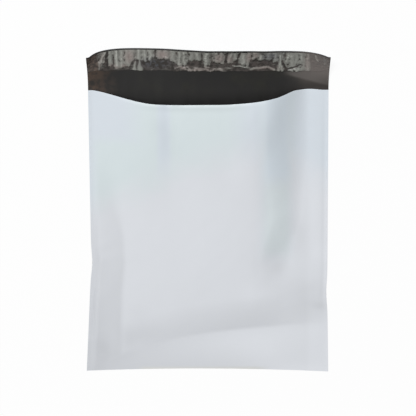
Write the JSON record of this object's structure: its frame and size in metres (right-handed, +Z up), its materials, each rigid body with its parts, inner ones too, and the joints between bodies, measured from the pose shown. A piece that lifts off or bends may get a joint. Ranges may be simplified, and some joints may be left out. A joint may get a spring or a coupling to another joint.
{
  "type": "poly mailer bag",
  "caption": "Flat courier pouch of white film, grey inside, lying with its mouth gaping and its closing flap open, with glue strip and crinkled liner.",
  "frame": {"origin": "on the underside of the back panel, in the middle of the flat blank", "axes": "+X across the bag, +Y from the bottom fold towards the flap, +Z up out of the surface it lies on"},
  "size_m": [0.3038, 0.4097, 0.0336],
  "materials": {
    "coextruded_film": "satin, white outside and dark grey inside",
    "hot_melt_glue": "tacky, pale amber",
    "liner_film": "glossy, crinkled, half clear over the dark film"
  },
  "bodies": {
    "root": {"film_pouch": "coextruded_film", "adhesive_strip": "hot_melt_glue", "release_liner": "liner_film"}
  },
  "joints": []
}
